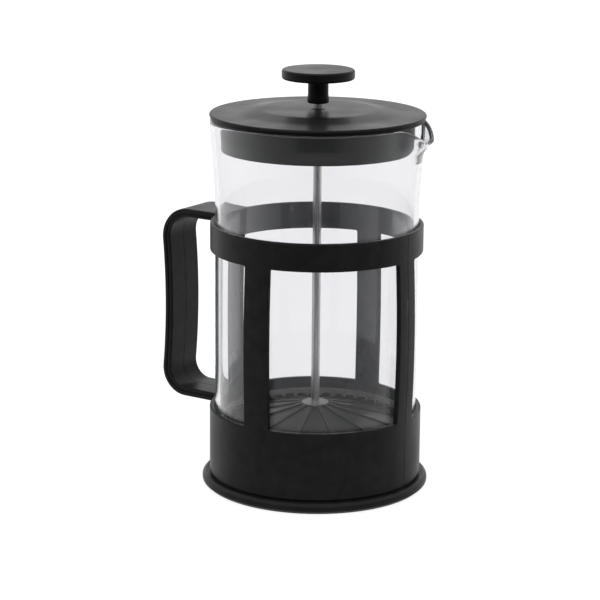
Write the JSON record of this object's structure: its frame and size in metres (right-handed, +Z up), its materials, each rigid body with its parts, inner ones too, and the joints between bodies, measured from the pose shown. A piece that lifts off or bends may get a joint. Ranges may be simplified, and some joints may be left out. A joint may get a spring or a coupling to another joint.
{
  "type": "french press",
  "caption": "Glass coffee press: beaker with pouring spout in a black windowed holder with a strap handle, flat round lid, and a knobbed plunger with a mesh filter.",
  "frame": {"origin": "on the beaker's axis, on the surface that the press stands on", "axes": "+Z up along the beaker's axis, -X towards the handle; the loose beaker stands turned, its spout 12 degrees from +X towards +Y"},
  "size_m": [0.1379, 0.108, 0.1991],
  "materials": {
    "holder_plastic": "black moulded polypropylene with a fine satin grain",
    "lid_plastic": "black moulded polypropylene with a fine satin grain",
    "knob_plastic": "black moulded polypropylene with a fine satin grain",
    "plate_plastic": "black moulded polypropylene with a fine satin grain",
    "beaker_glass": "clear borosilicate glass",
    "rod_steel": "drawn stainless rod",
    "stack_steel": "pressed stainless steel",
    "mesh_steel": "fine woven stainless mesh",
    "insert_brass": "turned brass"
  },
  "bodies": {
    "holder": {"frame": "holder_plastic", "handle": "holder_plastic", "base_plate": "holder_plastic"},
    "beaker": {"beaker": "beaker_glass"},
    "bush": {"rod_bush": "lid_plastic"},
    "lid": {"lid_cap": "lid_plastic", "lid_insert": "lid_plastic"},
    "plunger": {"knob": "knob_plastic", "knob_insert": "insert_brass", "plunger_rod": "rod_steel", "top_washer": "stack_steel", "pressure_plate": "plate_plastic", "filter_mesh": "mesh_steel", "cross_plate": "stack_steel", "hub_nut": "stack_steel"}
  },
  "joints": [
    {"name": "beaker_lift", "type": "slide", "parent": "holder", "child": "beaker", "axis": [0, 0, 1], "range_m": [0, 0.13]},
    {"name": "lid_lift", "type": "slide", "parent": "beaker", "child": "bush", "axis": [0, 0, 1], "range_m": [0, 0.165]},
    {"name": "lid_turn", "type": "hinge", "parent": "bush", "child": "lid", "pos_m": [0, 0, 0.177], "axis": [0, 0, 1], "continuous": true},
    {"name": "plunger_slide", "type": "slide", "parent": "bush", "child": "plunger", "axis": [0, 0, 1], "range_m": [-0.0022, 0.126]}
  ]
}
